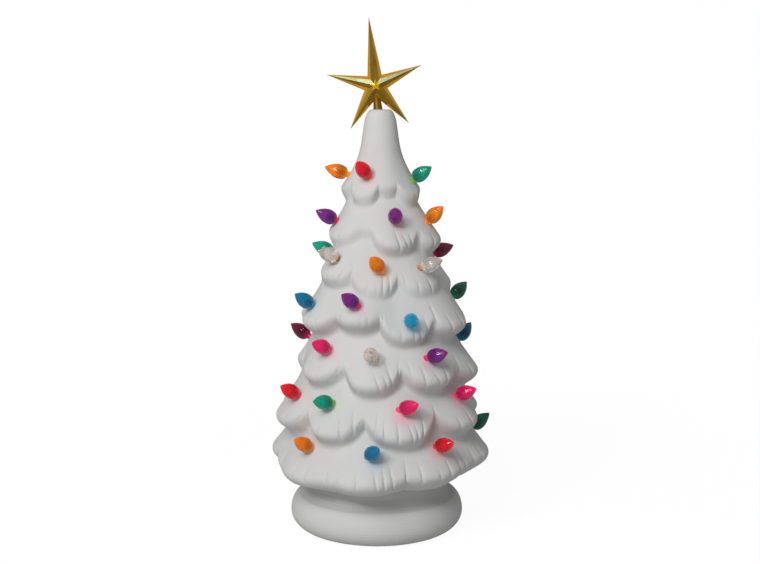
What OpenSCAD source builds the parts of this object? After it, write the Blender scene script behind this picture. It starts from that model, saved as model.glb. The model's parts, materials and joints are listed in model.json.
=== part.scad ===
// Ceramic Christmas tree with push-in bulbs, a star and a lamp kit in its base
// Heights run up from the table; azimuth 0 faces the viewer along -Y and grows toward +X

/* [Tree] */
// Height of the tree piece by itself
tree_h = 271; // [230:1:320]
// Radius of the lowest boughs at their tips
tree_r = 87; // [78:1:100]
// Thickness of the cast wall
wall = 5; // [4:0.5:6]
// Radius of the ring on the base that enters the tree
spigot_r = 46; // [44:0.5:47.5]
// Depth of the round opening in the tree's foot
mouth_h = 12; // [10:1:16]
// Rounding of the boughs' lips
lip_round = 13; // [9:1:15]
// Blending where one bough or tier runs into the next
crease_round = 8; // [5:1:10]
// How much farther a bough's middle stands out than its sides
bough_swell = 8; // [5:1:10]
// How far the tree's top stands to the viewer's right of its foot
top_shift = 1.8; // [0:0.2:2]
// Steps of the tree's surface around it
tree_steps_around = 90; // [72:6:96]
// Steps of the tree's surface up it
tree_steps_up = 46; // [40:2:48]

/* [Base] */
// Height at which the tree sits on the base
base_h = 45; // [40:1:52]
// Radius of the base at its widest
base_r = 65.5; // [62:0.5:72]
// Radius of the flat ring that the base stands on
foot_r = 51; // [49:0.5:54]
// Radius of the base's neck
neck_r = 51; // [49.5:0.5:54]
// Height at which the neck starts
neck_z = 34; // [31:1:36]
// How far the base's shoulder rounds in from its widest ring
shoulder_w = 9; // [7:0.5:11]
// How far the base's shoulder rounds up from its widest ring
shoulder_h = 14; // [12:0.5:15]
// Width of the flat ring that the base stands on
foot_w = 7; // [5:0.5:9]
// Height of the base's widest ring
belly_z = 13; // [11:0.5:15]
// Height of the ring on the base that enters the tree
spigot_h = 8; // [6:1:9]
// Thickness of the base's deck
deck_t = 5; // [4:0.5:6]

/* [Fits] */
// Gap around the spigot inside the tree
spigot_gap = 0.8; // [0.5:0.1:1.2]
// Gap around each peg in its hole
peg_gap = 0.2; // [0.15:0.05:0.3]
// Gap around the lamp's cap in the socket
cap_gap = 0.25; // [0.2:0.05:0.4]
// Gap between pieces of the lamp kit that seat on each other
seat_gap = 0.1; // [0.05:0.05:0.2]

/* [Bulbs] */
// Length of a bulb from its shoulder to its tip
bulb_l = 17; // [15:0.5:19]
// Radius of a bulb at its widest
bulb_r = 5; // [4.4:0.1:5.2]
// Radius of a bulb's peg
peg_r = 2.3; // [2:0.05:2.6]
// Length of the peg inside the tree's wall
peg_in = 9; // [7:0.5:11]
// Length of the peg that shows outside the wall
peg_out = 2; // [1.8:0.1:2.6]
// Radius of the blind hole up the inside of a bulb
pipe_r = 1.5; // [1.2:0.05:1.6]

/* [Star] */
// Reach of the star's top point
star_top = 50; // [44:1:56]
// Reach of the star's other four points
star_arm = 37; // [34:1:42]
// Radius of the star's inner corners
star_notch = 9; // [8:0.5:10.5]
// Half thickness of the star at its middle
star_half = 7; // [6:0.5:9]
// Half thickness of the star at its edge
star_edge = 0.6; // [0.4:0.1:0.9]
// Height of the star's middle over the tree's top
star_rise = 17.5; // [16:0.5:20]
// Lean of the star to the viewer's left
star_lean = 6; // [0:1:8]
// Radius of the star's peg
star_peg_r = 3.7; // [3.4:0.1:4]
// Depth of the star's peg in the tree
star_peg_h = 12; // [10:1:14]
// Radius of the star's stem under the star
star_stem_r = 1.9; // [1.6:0.1:2.4]

/* [Lamp kit] */
// Radius of the lamp's glass
lamp_r = 10.5; // [9.5:0.5:11]
// Height of the lamp's glass over its cap
lamp_h = 36; // [32:1:40]
// Thickness of the lamp's glass
glass_t = 0.8; // [0.6:0.1:1]
// Radius of the lamp's cap
cap_r = 5.6; // [5.4:0.1:5.9]
// Height of the lamp's cap
cap_h = 16; // [14:1:18]
// Radius of the socket's body
socket_r = 10; // [9.5:0.5:11]
// Height of the socket's body
socket_h = 27; // [25:1:29]
// Radius of the hole in the base's deck
deck_hole_r = 12.5; // [12:0.5:13.5]
// Radius of the socket's flange under the deck
flange_r = 15.5; // [15:0.5:17]
// Thickness of the socket's flange
flange_t = 2; // [1.6:0.2:2.4]
// Thickness of the brass screw shell and of the cap
sheet_t = 0.4; // [0.3:0.05:0.5]
// Width of a spring clip
clip_w = 6; // [5:0.5:8]
// Thickness of a spring clip
clip_t = 0.6; // [0.5:0.05:0.8]

/* [Cord notch] */
// Width of the notch for a cord in the back of the base
notch_w = 9; // [8:0.5:12]
// Height of the notch for a cord in the back of the base
notch_h = 8; // [7:0.5:10]

/* [Hidden] */
overrun = 1;
tree_top = base_h + tree_h;
// Radius of the vent from the star's hole into the hollow
star_vent_r = 2.5;
// How far up a bulb its blind hole runs, as a share of its length
bulb_pipe_share = 0.5;
bulb_steps = 14;
// How much of the cap sits in the socket, and how much of it holds the glass's neck
cap_in_share = 0.8;
neck_in_share = 0.2;
glass_steps = 14;
// Radius of the lamp's centre contact and how far it stands out of the cap
contact_r = 2;
contact_h = 1;
// Hole for the wires in the socket's underside
wire_hole_r = 3;
wire_hole_h = 6;
// Rod in the lamp, and the wire on it
stem_r = 2.2;
stem_h = 14;
wire_r = 0.25;
filament_h = 9;
ceramic = [0.9, 0.9, 0.88];
gold = [0.83, 0.6, 0.12];
brass = [0.8, 0.65, 0.3];
steel = [0.7, 0.71, 0.73];
plastic = [0.1, 0.1, 0.1];
AMBER = [0.93, 0.55, 0];
RED = [0.85, 0.08, 0.18];
GREEN = [0, 0.6, 0.42];
DARK_GREEN = [0, 0.36, 0.24];
PURPLE = [0.47, 0.12, 0.55];
CLEAR = [0.95, 0.85, 0.75];
ORANGE = [0.94, 0.42, 0.05];
MAROON = [0.5, 0, 0.14];
CYAN = [0, 0.6, 0.78];
BLUE = [0, 0.43, 0.68];
MAGENTA = [0.92, 0.08, 0.42];
TEAL = [0, 0.3, 0.42];

// Tiers of boughs, lowest first: height of the lip between boughs, then the boughs of the tier with
// azimuth, lip height, reach, half width and how much higher the lip is at the bough's sides
// Heights are shares of the tree's height, reach is one of its radius, half width one of a turn
tier_shares = [
[0.070, [[-98, 0.062, 0.890, 0.066, 0.035], [-50, 0.018, 0.930, 0.078, 0.034],
        [-8, 0.026, 0.985, 0.068, 0.034], [36, 0.044, 0.950, 0.072, 0.030],
        [82, 0.066, 0.935, 0.068, 0.032], [127, 0.058, 0.950, 0.068, 0.036],
        [172, 0.050, 0.960, 0.068, 0.036], [217, 0.058, 0.940, 0.068, 0.036]]],
    [0.205, [[-70, 0.158, 0.906, 0.062, 0.048], [-28, 0.152, 0.900, 0.056, 0.055],
        [15, 0.148, 0.920, 0.062, 0.058], [62, 0.156, 0.931, 0.064, 0.050],
        [108, 0.160, 0.920, 0.062, 0.050], [151, 0.158, 0.910, 0.060, 0.052],
        [196, 0.160, 0.910, 0.060, 0.052], [241, 0.160, 0.910, 0.062, 0.050]]],
    [0.336, [[-90, 0.305, 0.701, 0.056, 0.045], [-46, 0.292, 0.785, 0.056, 0.050],
        [-4, 0.280, 0.820, 0.056, 0.060], [39, 0.288, 0.850, 0.064, 0.052],
        [80, 0.280, 0.880, 0.060, 0.050], [118, 0.290, 0.851, 0.060, 0.050],
        [155, 0.288, 0.840, 0.058, 0.052], [192, 0.290, 0.830, 0.058, 0.052],
        [229, 0.296, 0.800, 0.058, 0.050]]],
    [0.470, [[-98, 0.428, 0.680, 0.060, 0.045], [-57, 0.427, 0.725, 0.062, 0.048],
        [-17, 0.450, 0.700, 0.054, 0.046], [21, 0.405, 0.730, 0.056, 0.066],
        [62, 0.420, 0.806, 0.068, 0.052], [102, 0.421, 0.759, 0.064, 0.050],
        [142, 0.432, 0.740, 0.062, 0.050], [182, 0.423, 0.730, 0.062, 0.052],
        [222, 0.432, 0.720, 0.062, 0.050]]],
    [0.586, [[-95, 0.546, 0.480, 0.068, 0.044], [-46, 0.554, 0.590, 0.066, 0.046],
        [-3, 0.524, 0.590, 0.062, 0.060], [42, 0.524, 0.620, 0.068, 0.050],
        [86, 0.522, 0.618, 0.068, 0.046], [129, 0.540, 0.600, 0.066, 0.050],
        [172, 0.534, 0.590, 0.066, 0.052], [216, 0.542, 0.580, 0.066, 0.050]]],
    [0.706, [[-58, 0.654, 0.470, 0.092, 0.050], [18, 0.638, 0.500, 0.082, 0.062],
        [68, 0.640, 0.550, 0.070, 0.050], [118, 0.646, 0.505, 0.076, 0.052],
        [167, 0.640, 0.500, 0.076, 0.052], [216, 0.650, 0.490, 0.076, 0.052],
        [258, 0.658, 0.430, 0.074, 0.050]]],
    [0.822, [[-84, 0.778, 0.336, 0.072, 0.034], [-30, 0.766, 0.345, 0.078, 0.044],
        [14, 0.798, 0.290, 0.050, 0.030], [55, 0.764, 0.370, 0.074, 0.044],
        [100, 0.774, 0.350, 0.072, 0.040], [148, 0.774, 0.335, 0.072, 0.040],
        [197, 0.776, 0.340, 0.072, 0.040], [238, 0.776, 0.330, 0.072, 0.040]]]
];
// The body under the boughs: height and radius as shares of the tree's height and radius
core_shares = [
    [0, 0.680], [0.049, 0.690], [0.148, 0.730], [0.276, 0.620], [0.403, 0.540], [0.538, 0.440],
    [0.635, 0.362], [0.764, 0.252], [0.878, 0.179], [0.970, 0.137], [0.985, 0.122], [0.994, 0.108],
    [1, 0.088]
];
// Where the tree starts to lean aside, and over how much it does so, as shares of its height
top_shift_shares = [0.2, 0.5];
// Bulbs by tier, lowest first: azimuth, height share, swing aside, tilt up and colour
bulb_shares = [
    [[-118, 0.096, -4, 36, GREEN], [-46, 0.100, 3, 30, AMBER], [-5, 0.102, 33, 32, BLUE],
        [37, 0.114, 7, 20, RED], [102, 0.096, 6, 36, DARK_GREEN], [155, 0.096, 0, 30, MAGENTA],
        [205, 0.100, 0, 30, PURPLE]],
    [[-62, 0.231, 12, 30, RED], [-30, 0.232, -16, 12, GREEN], [14, 0.222, 34, 22, MAGENTA],
        [59, 0.234, -3, 24, MAGENTA], [135, 0.230, 0, 28, AMBER], [180, 0.230, 0, 28, CYAN],
        [225, 0.230, 0, 28, CLEAR]],
    [[-98, 0.366, -18, 28, MAROON], [-40, 0.367, -2, 22, MAGENTA], [-5, 0.356, 5, 26, CLEAR],
        [34, 0.351, 20, 20, PURPLE], [102, 0.354, 30, 40, TEAL], [155, 0.355, 0, 28, GREEN],
        [210, 0.355, 0, 28, AMBER]],
    [[-61, 0.476, 10, 32, BLUE], [-16, 0.491, -28, 32, PURPLE], [24, 0.442, -30, 30, CYAN],
        [104, 0.474, 26, 36, DARK_GREEN], [148, 0.470, 0, 30, RED], [180, 0.470, 0, 30, CLEAR],
        [212, 0.475, 0, 30, MAGENTA]],
    [[-107, 0.603, -4, 20, GREEN], [-45, 0.606, -5, 22, CLEAR], [2, 0.580, -32, 36, ORANGE],
        [42, 0.582, 20, 22, CLEAR], [108, 0.600, 0, 18, MAROON], [158, 0.590, 0, 28, BLUE],
        [204, 0.595, 0, 28, PURPLE]],
    [[-70, 0.700, 4, 26, PURPLE], [20, 0.705, -22, 36, PURPLE], [66, 0.700, -16, 40, ORANGE],
        [155, 0.692, 0, 30, CYAN], [182, 0.692, 0, 30, RED], [209, 0.692, 0, 30, GREEN]],
    [[-84, 0.823, -6, 18, AMBER], [-25, 0.824, -5, 36, RED], [68, 0.812, -8, 32, GREEN],
        [157, 0.806, 0, 28, MAGENTA], [181, 0.806, 0, 28, GREEN], [205, 0.806, 0, 28, BLUE]]
];
// Names of the bulbs' places in a tier
PLACES = ["a", "b", "c", "d", "e", "f", "g"];

// How far a bough's face leans in for each unit of height, and its underside likewise
face_lean = 0.8;
under_lean = 1.5;
// How much less a face leans higher up the tree
face_curve_share = 0.6;
// Height over which a bough's swelling fades up its face, and how much of it fades
fade_height_share = 0.11;
fade_share = 0.6;
// How high over the lip between boughs a tier still counts, and how far below it
tier_reach_shares = [0.31, 0.19];
// How much of a bough's swelling the inside of the wall follows
inside_share = 0.6;
// Steps of the wall's inside up the tree
inside_steps = 10;
// Share of the tree's height where the hollow ends
hollow_top_share = 0.93;

// Smooth smaller and larger of two values, rounded over the width k
function softer(a, b, k) = let (h = max(k - abs(a - b), 0) / k) min(a, b) - h * h * k / 4;
function stouter(a, b, k) = -softer(-a, -b, k);
// Angle between two azimuths, from -180 to 180
function turn_to(a) = a - 360 * floor((a + 180) / 360);
function core_radius(z) = tree_r * lookup(z / tree_h, core_shares);

// How far azimuth a is from the middle of bough b, counted in the bough's half widths
function across(b, a) = turn_to(a - b[0]) / (b[3] * 360);
// Height of the lip of tier t at azimuth a, where each bough ends in a round tongue
function lip_height(t, a, i = 0) =
    i >= len(t[1]) ? tree_h * t[0] :
    let (
        b = t[1][i],
        bow = sqrt(max(1 - pow(abs(across(b, a)), 2.6), 0))
    )
    softer(lip_height(t, a, i + 1), tree_h * (b[1] + b[4] * (1 - bow)), crease_round);
// Radius of the face of tier t at azimuth a and height z, the stoutest of its boughs' faces
function face_radius(t, a, z, i = 0) =
    let (
        b = t[1][i],
        d = across(b, a),
        up = z - tree_h * b[1],
        fade = fade_share * min(max(up / (tree_h * fade_height_share), 0), 1),
        lean = face_lean * up * (1 - face_curve_share * up / tree_h),
        face = tree_r * b[2] - lean - bough_swell * b[2] * d * d * (1 - fade)
    )
    i == len(t[1]) - 1 ? face : stouter(face, face_radius(t, a, z, i + 1), crease_round);
// Radius of tier t, whose underside leans in below its lip
function tier_radius(t, a, z) =
    let (edge = lip_height(t, a))
    softer(face_radius(t, a, z), face_radius(t, a, edge) + under_lean * (z - edge), lip_round)
    + lip_round / 5;
function near_tiers(z) = [
    for (t = tier_shares)
        let (up = z / tree_h - t[0])
        if (up < tier_reach_shares[0] && up > -tier_reach_shares[1]) t
];
function blend(tiers, a, z, r, i = 0) =
    i >= len(tiers) ? r : blend(tiers, a, z, stouter(r, tier_radius(tiers[i], a, z), crease_round), i + 1);
// Radius of the tree at azimuth a and height z over its foot
function tree_radius(a, z) = blend(near_tiers(z), a, z, core_radius(z));
// Radius of the hollow, which is round at the mouth
function hollow_radius(a, z) =
    z <= mouth_h ? spigot_r :
    core_radius(z) + inside_share * (tree_radius(a, z) - core_radius(z)) - wall;

function around(r, a, z) = [r * sin(a), -r * cos(a), z];
function aside(z) =
    let (t = (z / tree_h - top_shift_shares[0]) / top_shift_shares[1])
    [top_shift * min(max(t, 0), 1), 0, 0];
function tree_points() =
    let (
        n = tree_steps_around,
        top = tree_h * hollow_top_share,
        inside = [0, for (i = [0 : inside_steps]) mouth_h + (top - mouth_h) * i / inside_steps]
    )
    concat(
        [for (j = [0 : tree_steps_up], i = [0 : n - 1])
            let (a = i * 360 / n, z = tree_h * j / tree_steps_up)
            around(tree_radius(a, z), a, z) + aside(z)],
        [for (z = inside, i = [0 : n - 1])
            let (a = i * 360 / n) around(hollow_radius(a, z), a, z) + aside(z)],
        [around(0, 0, tree_h) + aside(tree_h), around(0, 0, top) + aside(top)]
    );
function strip(lower, upper, n, flip) = [
    for (i = [0 : n - 1])
        let (
            k = (i + 1) % n,
            q = [lower + i, lower + k, upper + k, upper + i]
        )
        each flip
            ? [[q[0], q[1], q[2]], [q[0], q[2], q[3]]]
            : [[q[0], q[2], q[1]], [q[0], q[3], q[2]]]
];
function fan(ring, hub, n, flip) = [
    for (i = [0 : n - 1])
        let (k = (i + 1) % n) flip ? [ring + i, ring + k, hub] : [ring + k, ring + i, hub]
];
function tree_faces() =
    let (
        n = tree_steps_around,
        first = n * (tree_steps_up + 1),
        last = first + n * (inside_steps + 1),
        hub = last + n
    )
    concat(
        [for (j = [0 : tree_steps_up - 1]) each strip(j * n, (j + 1) * n, n, false)],
        [for (j = [0 : inside_steps]) each strip(first + j * n, first + (j + 1) * n, n, true)],
        strip(0, first, n, true),
        fan(n * tree_steps_up, hub, n, false),
        fan(last, hub + 1, n, true)
    );

// Puts its children at a bulb's place on the tree, with +Z along the bulb
module at_bulb(b) {
    z = tree_h * b[1];
    translate([0, 0, base_h])
        translate(around(tree_radius(b[0], z), b[0], z) + aside(z))
            rotate([0, 0, b[0] + b[2]])
                rotate([90 - b[3], 0, 0])
                    children();
}

module bulb_hole() {
    translate([0, 0, -wall - 3 * peg_in])
        cylinder(r = peg_r + peg_gap, h = wall + 3 * peg_in + 2 * peg_out, $fn = 24);
}

module tree_shell() {
    color(ceramic)
        difference() {
            translate([0, 0, base_h]) polyhedron(tree_points(), tree_faces(), 8);
            translate([0, 0, base_h - overrun])
                cylinder(r = spigot_r + spigot_gap, h = mouth_h + overrun, $fn = 96);
            translate([0, 0, tree_top - star_peg_h])
                cylinder(r = star_peg_r + peg_gap, h = star_peg_h + overrun, $fn = 32);
            translate([0, 0, base_h + tree_h * hollow_top_share - overrun])
                cylinder(r = star_vent_r, h = tree_h, $fn = 24);
            for (tier = bulb_shares, b = tier)
                at_bulb(b) bulb_hole();
        }
}

// One coloured bulb: a teardrop on a peg, with a blind hole up its middle
module bulb(b) {
    pipe_top = peg_out + bulb_l * bulb_pipe_share;
    color(b[4])
        at_bulb(b)
            rotate_extrude($fn = 24)
                polygon([
                    [0, pipe_top],
                    [pipe_r, pipe_top - pipe_r],
                    [pipe_r, -peg_in],
                    [peg_r, -peg_in],
                    [peg_r, peg_out],
                    for (i = [1 : bulb_steps - 1])
                        let (t = i / bulb_steps)
                        [bulb_r * pow(sin(180 * pow(t, 0.62)), 0.8), peg_out + bulb_l * t],
                    [0, peg_out + bulb_l]
                ]);
}

// Points of the base's outer outline, from the foot up to the neck
function curve(p, q, r, t) = (1 - t) * (1 - t) * p + 2 * t * (1 - t) * q + t * t * r;
function base_outline() =
    let (
        shoulder = [for (a = [0 : 10 : 70])
            [base_r - shoulder_w + shoulder_w * cos(a), belly_z + shoulder_h * sin(a)]],
        last = shoulder[len(shoulder) - 1]
    )
    concat(
        [for (a = [0 : 10 : 80])
            [foot_r + (base_r - foot_r) * sin(a), belly_z * (1 - cos(a))]],
        shoulder,
        [for (t = [0.2 : 0.2 : 1])
            curve(last, [neck_r + (last[0] - neck_r) * 0.15, last[1] + (neck_z - last[1]) * 0.15],
                [neck_r, neck_z], t)]
    );
// The same outline moved inward by the thickness t
function moved_in(list, t) = [
    for (i = [0 : len(list) - 1])
        let (
            p = list[max(i - 1, 0)],
            q = list[min(i + 1, len(list) - 1)],
            way = (q - p) / norm(q - p)
        )
        list[i] + t * [-way[1], way[0]]
];
function reversed(list) = [for (i = [len(list) - 1 : -1 : 0]) list[i]];

module base_stand() {
    outline = base_outline();
    inline = moved_in(outline, wall);
    color(ceramic)
        difference() {
            rotate_extrude($fn = 96)
                polygon(concat(
                    [[foot_r - foot_w, 0]],
                    outline,
                    [
                        [neck_r, base_h],
                        [spigot_r, base_h],
                        [spigot_r, base_h + spigot_h],
                        [spigot_r - wall, base_h + spigot_h],
                        [spigot_r - wall, base_h],
                        [deck_hole_r, base_h],
                        [deck_hole_r, base_h - deck_t],
                        [neck_r - wall, base_h - deck_t]
                    ],
                    reversed([for (p = inline) if (p[0] < base_r) p]),
                    [[foot_r - foot_w, wall]]
                ));
            cord_notch();
        }
}

// An arch cut through the back of the base at the table
module cord_notch() {
    reach = base_r + overrun;
    translate([-notch_w / 2, foot_r - 2 * foot_w, -overrun])
        cube([notch_w, reach, notch_h - notch_w / 2 + overrun]);
    translate([0, foot_r - 2 * foot_w, notch_h - notch_w / 2])
        rotate([-90, 0, 0])
            cylinder(d = notch_w, h = reach, $fn = 32);
}

// Half of the star's thickness shrinks from its middle to a thin edge at its outline
function star_outline() = [
    for (i = [0 : 9])
        let (
            a = 36 * i,
            r = i == 0 ? star_top : i % 2 == 0 ? star_arm : star_notch
        )
        [r * sin(a), 0, r * cos(a)]
];
module star_facets(outline, half, edge) {
    n = len(outline);
    points = concat(
        [for (p = outline) p - [0, edge, 0]],
        [for (p = outline) p + [0, edge, 0]],
        [[0, -half, 0], [0, half, 0]]
    );
    faces = [
        for (i = [0 : n - 1])
            let (k = (i + 1) % n)
            each [
                [2 * n, i, k],
                [2 * n + 1, n + k, n + i],
                [k, i, n + i],
                [k, n + i, n + k]
            ]
    ];
    polyhedron(points, faces);
}
module star_topper() {
    color(gold) {
        translate([-star_rise * sin(star_lean), 0, tree_top + star_rise])
            rotate([0, -star_lean, 0])
                star_facets(star_outline(), star_half, star_edge);
        translate([0, 0, tree_top])
            rotate([0, -star_lean, 0])
                translate([0, 0, -star_peg_r * sin(star_lean)])
                    cylinder(r1 = 0.96 * star_peg_r, r2 = star_stem_r, h = star_rise, $fn = 32);
        translate([0, 0, tree_top - star_peg_h])
            cylinder(r = star_peg_r, h = star_peg_h, $fn = 32);
    }
}

// Heights in the lamp kit, from the deck of the base
deck_under = base_h - deck_t;
socket_top = base_h + spigot_h - wall;
cap_low = socket_top - cap_h * cap_in_share;
cap_top = cap_low + cap_h;
well_low = cap_low - contact_h - sheet_t - 3 * seat_gap;
sleeve_r = cap_r + cap_gap + sheet_t;

module socket_body() {
    color(plastic)
        translate([0, 0, socket_top - socket_h])
            difference() {
                union() {
                    cylinder(r = socket_r, h = socket_h, $fn = 48);
                    translate([0, 0, deck_under - seat_gap - flange_t - socket_top + socket_h])
                        cylinder(r = flange_r, h = flange_t, $fn = 48);
                }
                translate([0, 0, well_low - socket_top + socket_h])
                    cylinder(r = sleeve_r + seat_gap, h = socket_h, $fn = 48);
                translate([0, 0, -overrun])
                    cylinder(r = wire_hole_r, h = wire_hole_h + overrun, $fn = 24);
            }
}

// Sleeve that the lamp screws into
module socket_sleeve() {
    color(brass)
        translate([0, 0, well_low + sheet_t + seat_gap])
            difference() {
                cylinder(r = sleeve_r, h = socket_top - well_low - 2 * sheet_t - seat_gap, $fn = 48);
                translate([0, 0, -overrun])
                    cylinder(r = sleeve_r - sheet_t, h = socket_h, $fn = 48);
            }
}

// Flat contact on the floor of the socket's well
module socket_contact() {
    color(brass)
        translate([0, 0, well_low])
            cylinder(r = cap_r - sheet_t, h = sheet_t, $fn = 32);
}

// Two spring clips that hook over the deck beside its hole
module socket_clips() {
    low = deck_under;
    high = base_h + 4 * clip_t;
    near = socket_r + seat_gap;
    hook = deck_hole_r + 2 * clip_t;
    color(steel)
        for (side = [0, 180])
            rotate([90, 0, side])
                translate([0, 0, -clip_w / 2])
                    linear_extrude(clip_w)
                        polygon([
                            [near, low],
                            [near + clip_t, low],
                            [near + clip_t, high - clip_t],
                            [hook - clip_t, base_h + seat_gap],
                            [hook, base_h + seat_gap],
                            [near + clip_t, high],
                            [near, high]
                        ]);
}

// Radius of the lamp's glass a share t of the way up from its neck
function glass_radius(wide, neck, t) =
    let (a = asin(neck / wide)) wide * sin(a + (180 - a) * pow(t, 0.8));
module lamp_glass() {
    neck = cap_r - sheet_t - seat_gap;
    dip = cap_h * neck_in_share;
    color([0.95, 0.95, 0.9, 0.5])
        translate([0, 0, cap_top])
            rotate_extrude($fn = 48)
                polygon(concat(
                    [[neck, -dip]],
                    [for (i = [0 : glass_steps])
                        let (t = i / glass_steps)
                        [max(glass_radius(lamp_r, neck, t), 0), lamp_h * t]],
                    [for (i = [glass_steps : -1 : 0])
                        let (t = i / glass_steps)
                        [max(glass_radius(lamp_r - glass_t, neck - glass_t, t), 0),
                            (lamp_h - glass_t) * t]],
                    [[neck - glass_t, -dip]]
                ));
}

module lamp_cap() {
    color(brass)
        translate([0, 0, cap_low])
            difference() {
                cylinder(r = cap_r, h = cap_h, $fn = 48);
                translate([0, 0, sheet_t])
                    cylinder(r = cap_r - sheet_t, h = cap_h, $fn = 48);
                translate([0, 0, -overrun])
                    cylinder(r = contact_r + seat_gap, h = cap_h, $fn = 32);
            }
}

// Ring of black glass that keeps the centre contact off the cap
module lamp_insulator() {
    color(plastic)
        translate([0, 0, cap_low + sheet_t])
            difference() {
                cylinder(r = cap_r - sheet_t - seat_gap, h = contact_h, $fn = 48);
                translate([0, 0, -overrun])
                    cylinder(r = contact_r + seat_gap, h = contact_h + 2 * overrun, $fn = 32);
            }
}

module lamp_contact() {
    color(steel)
        translate([0, 0, cap_low - contact_h])
            cylinder(r = contact_r, h = 2 * contact_h + sheet_t, $fn = 32);
}

// Glass foot inside the neck, with the rod that carries the wires
module lamp_stem() {
    flare = cap_r - 2 * seat_gap - sheet_t - glass_t;
    color([0.9, 0.95, 0.95, 0.6])
        translate([0, 0, cap_top - cap_h * neck_in_share]) {
            cylinder(r = flare, h = stem_r, $fn = 32);
            cylinder(r = stem_r, h = stem_h, $fn = 32);
        }
}

// Wire loop that glows, on two leads from the rod
module lamp_filament() {
    low = cap_top - cap_h * neck_in_share + stem_h;
    apart = stem_r - 2 * wire_r;
    color(steel) {
        for (side = [-apart, apart])
            translate([side, 0, low])
                cylinder(r = wire_r, h = filament_h, $fn = 16);
        translate([-apart, 0, low + filament_h])
            rotate([0, 90, 0])
                cylinder(r = wire_r, h = 2 * apart, $fn = 16);
    }
}

// Every bulb with its name: the tier, counted from the lowest, and its place round it
BULBS = [
    for (t = [0 : len(bulb_shares) - 1], i = [0 : len(bulb_shares[t]) - 1])
        [str("bulb_", t + 1, PLACES[i]), bulb_shares[t][i]]
];
tree_shell();
base_stand();
star_topper();
socket_body();
socket_sleeve();
socket_contact();
socket_clips();
lamp_glass();
lamp_cap();
lamp_insulator();
lamp_contact();
lamp_stem();
lamp_filament();
for (b = BULBS)
    bulb(b[1]);
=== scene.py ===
# Ceramic Christmas tree with push-in bulbs and a star on a hollow base: its looks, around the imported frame
import json
import math
import bpy
import numpy as np
from mathutils import Matrix, Vector


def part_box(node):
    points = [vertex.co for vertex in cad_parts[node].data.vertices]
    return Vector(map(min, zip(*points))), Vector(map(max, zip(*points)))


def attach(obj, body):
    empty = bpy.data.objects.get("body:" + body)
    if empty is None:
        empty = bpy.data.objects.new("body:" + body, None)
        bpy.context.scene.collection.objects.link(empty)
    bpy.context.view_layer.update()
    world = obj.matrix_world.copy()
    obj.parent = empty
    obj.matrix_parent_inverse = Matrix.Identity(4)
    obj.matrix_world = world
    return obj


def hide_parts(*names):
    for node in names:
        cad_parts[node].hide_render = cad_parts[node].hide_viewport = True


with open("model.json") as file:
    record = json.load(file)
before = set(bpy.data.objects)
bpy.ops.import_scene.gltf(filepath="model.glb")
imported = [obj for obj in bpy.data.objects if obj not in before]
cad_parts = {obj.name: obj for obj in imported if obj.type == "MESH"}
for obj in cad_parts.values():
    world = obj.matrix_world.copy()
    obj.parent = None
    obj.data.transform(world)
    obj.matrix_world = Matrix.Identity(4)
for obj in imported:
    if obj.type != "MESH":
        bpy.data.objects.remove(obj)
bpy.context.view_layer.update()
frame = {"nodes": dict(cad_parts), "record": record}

MM = 0.001
NODES = frame["nodes"]
SLOT_OF = {part["node"]: part["material_slot"] for part in frame["record"]["subparts"]}
# Lengths are in millimetres unless a comment says otherwise
TREE_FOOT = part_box("tree_shell")[0].z / MM
TREE_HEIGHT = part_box("tree_shell")[1].z / MM - TREE_FOOT
TREE_REACH = 87.0

# ---- Camera, floor and light ----

# The lamps' aim in metres, and the part of the paper's white near the object that doesn't take the shadow
LAMP_AIM = Vector((0, 0, 0.18))
OWN_WHITE = 0.88


def mix_shaders(tree, share, one, other, out):
    mix = tree.nodes.new("ShaderNodeMixShader")
    tree.links.new(share, mix.inputs["Fac"])
    tree.links.new(one.outputs[0], mix.inputs[1])
    tree.links.new(other.outputs[0], mix.inputs[2])
    tree.links.new(mix.outputs[0], out.inputs["Surface"])


def place_camera():
    tilt = math.radians(8.39)
    roll = math.radians(0.2)
    turn = Matrix.Rotation(math.pi / 2 - tilt, 3, "X") @ Matrix.Rotation(roll, 3, "Z")
    bpy.ops.object.camera_add(location=(0.0019, -1.0, 0.335), rotation=turn.to_euler())
    camera = bpy.context.object
    camera.name = "photo_camera"
    camera.data.sensor_width = 36
    camera.data.lens = 63.8
    camera.data.clip_start = 0.05
    bpy.context.scene.camera = camera


def seen_directly(tree):
    """1 for rays that come straight from the camera or through glass, and part of that for those off gloss."""
    path = tree.nodes.new("ShaderNodeLightPath")
    total = path.outputs["Is Camera Ray"]
    for name, share in (("Is Transmission Ray", 1.0), ("Is Glossy Ray", 0.15)):
        add = tree.nodes.new("ShaderNodeMath")
        add.operation = "MULTIPLY_ADD"
        add.use_clamp = True
        add.inputs[1].default_value = share
        tree.links.new(path.outputs[name], add.inputs[0])
        tree.links.new(total, add.inputs[2])
        total = add.outputs[0]
    return total


def build_world():
    world = bpy.data.worlds.new("studio")
    bpy.context.scene.world = world
    world.use_nodes = True
    tree = world.node_tree
    tree.nodes.clear()
    out = tree.nodes.new("ShaderNodeOutputWorld")
    fill = tree.nodes.new("ShaderNodeBackground")
    fill.inputs["Color"].default_value = (0.98, 0.99, 1.0, 1)
    fill.inputs["Strength"].default_value = 0.28
    white = tree.nodes.new("ShaderNodeBackground")
    white.inputs["Color"].default_value = (1, 1, 1, 1)
    white.inputs["Strength"].default_value = 1.0
    mix_shaders(tree, seen_directly(tree), fill, white, out)


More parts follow.
